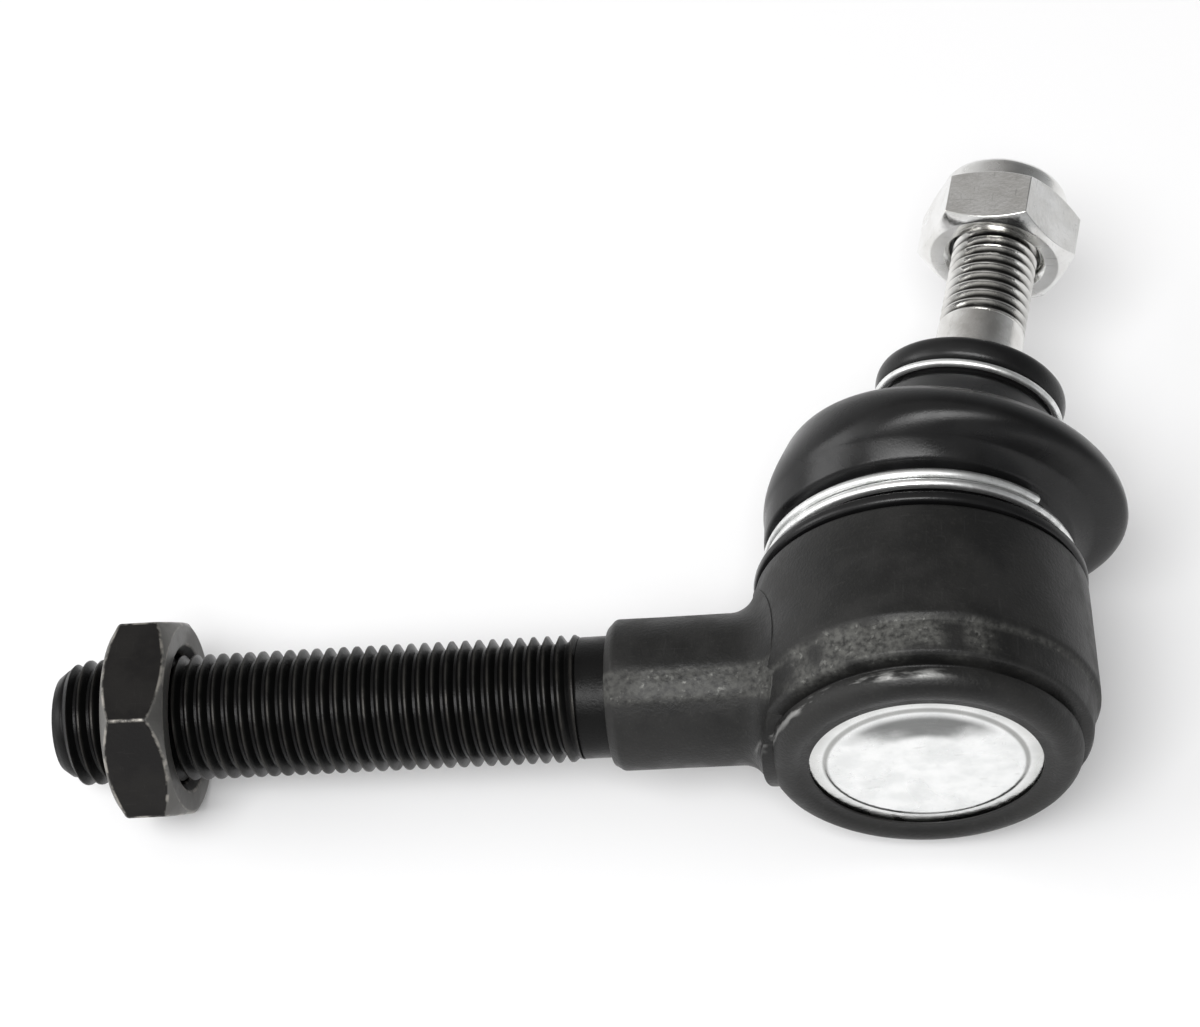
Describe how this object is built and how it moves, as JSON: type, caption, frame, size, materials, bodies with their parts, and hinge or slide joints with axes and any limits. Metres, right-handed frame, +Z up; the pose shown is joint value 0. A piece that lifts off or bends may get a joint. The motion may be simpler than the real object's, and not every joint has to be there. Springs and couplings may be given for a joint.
{
  "type": "tie rod end",
  "caption": "Outer steering tie rod end: forged eye with threaded shank and jam nut, ball stud under a rubber dust boot, and a locking nut.",
  "frame": {"origin": "middle of the part's footprint on the bench it lies on", "axes": "+Z up from the bench; +X along the shank from its threaded end towards the eye; +Y along the ball stud towards its nut. The shank dips 5.2 degrees, the eye rolls 1 degree and the stud leans about 11 degrees in the eye, as the part lies."},
  "size_m": [0.117, 0.0776, 0.0387],
  "materials": {
    "black_forging": "black phosphated forging, satin",
    "black_nut": "black oxide, satin",
    "seat_plastic": "moulded acetal",
    "spring_steel": "oiled spring steel",
    "zinc_cap": "bright zinc plate",
    "wire_zinc": "galvanised spring wire",
    "black_rubber": "moulded rubber, soft sheen",
    "turned_steel": "turned and rolled steel, oiled",
    "nylon": "moulded nylon",
    "bright_zinc": "bright zinc plate"
  },
  "bodies": {
    "eye": {"housing": "black_forging", "upper_bearing_seat": "seat_plastic", "lower_bearing_seat": "seat_plastic", "preload_spring": "spring_steel", "end_cap": "zinc_cap", "boot_large_ring": "wire_zinc"},
    "boot": {"dust_boot": "black_rubber"},
    "boot_lip": {"boot_small_ring": "wire_zinc"},
    "stud": {"ball_stud": "turned_steel"},
    "nut_carrier": {"nut_insert": "nylon"},
    "nut": {"stud_nut": "bright_zinc"},
    "jam_nut": {"jam_nut": "black_nut"}
  },
  "joints": [
    {"name": "stud_swing_sideways", "type": "hinge", "parent": "eye", "child": "boot", "pos_m": [0.03582, -0.02468, 0.0184], "axis": [-0.0913, 0.0169, 0.9957], "range_deg": [-6.4, 27.6], "deforming": ["dust_boot"]},
    {"name": "stud_swing_up_down", "type": "hinge", "parent": "boot", "child": "boot_lip", "pos_m": [0.03582, -0.02468, 0.0184], "axis": [0.9958, 0, 0.0913], "range_deg": [-20.2, 13.8]},
    {"name": "stud_spin", "type": "hinge", "parent": "boot_lip", "child": "stud", "pos_m": [0.03582, -0.02468, 0.0184], "axis": [0.1794, 0.9822, 0.0549], "continuous": true},
    {"name": "stud_nut_travel", "type": "slide", "parent": "stud", "child": "nut_carrier", "axis": [0.1794, 0.9822, 0.0549], "range_m": [-0.00875, 0.00625]},
    {"name": "stud_nut_turn", "type": "hinge", "parent": "nut_carrier", "child": "nut", "pos_m": [0.03582, -0.02468, 0.0184], "axis": [0.1794, 0.9822, 0.0549], "range_deg": [-2520, 1800]},
    {"name": "jam_nut_travel", "type": "slide", "parent": "eye", "child": "jam_nut", "axis": [0.9958, 0, 0.0913], "range_m": [-0.0063, 0.0433]}
  ],
  "couplings": [
    {"joint": "stud_nut_turn", "follows": "stud_nut_travel", "rad_per_m": 5026.5}
  ]
}
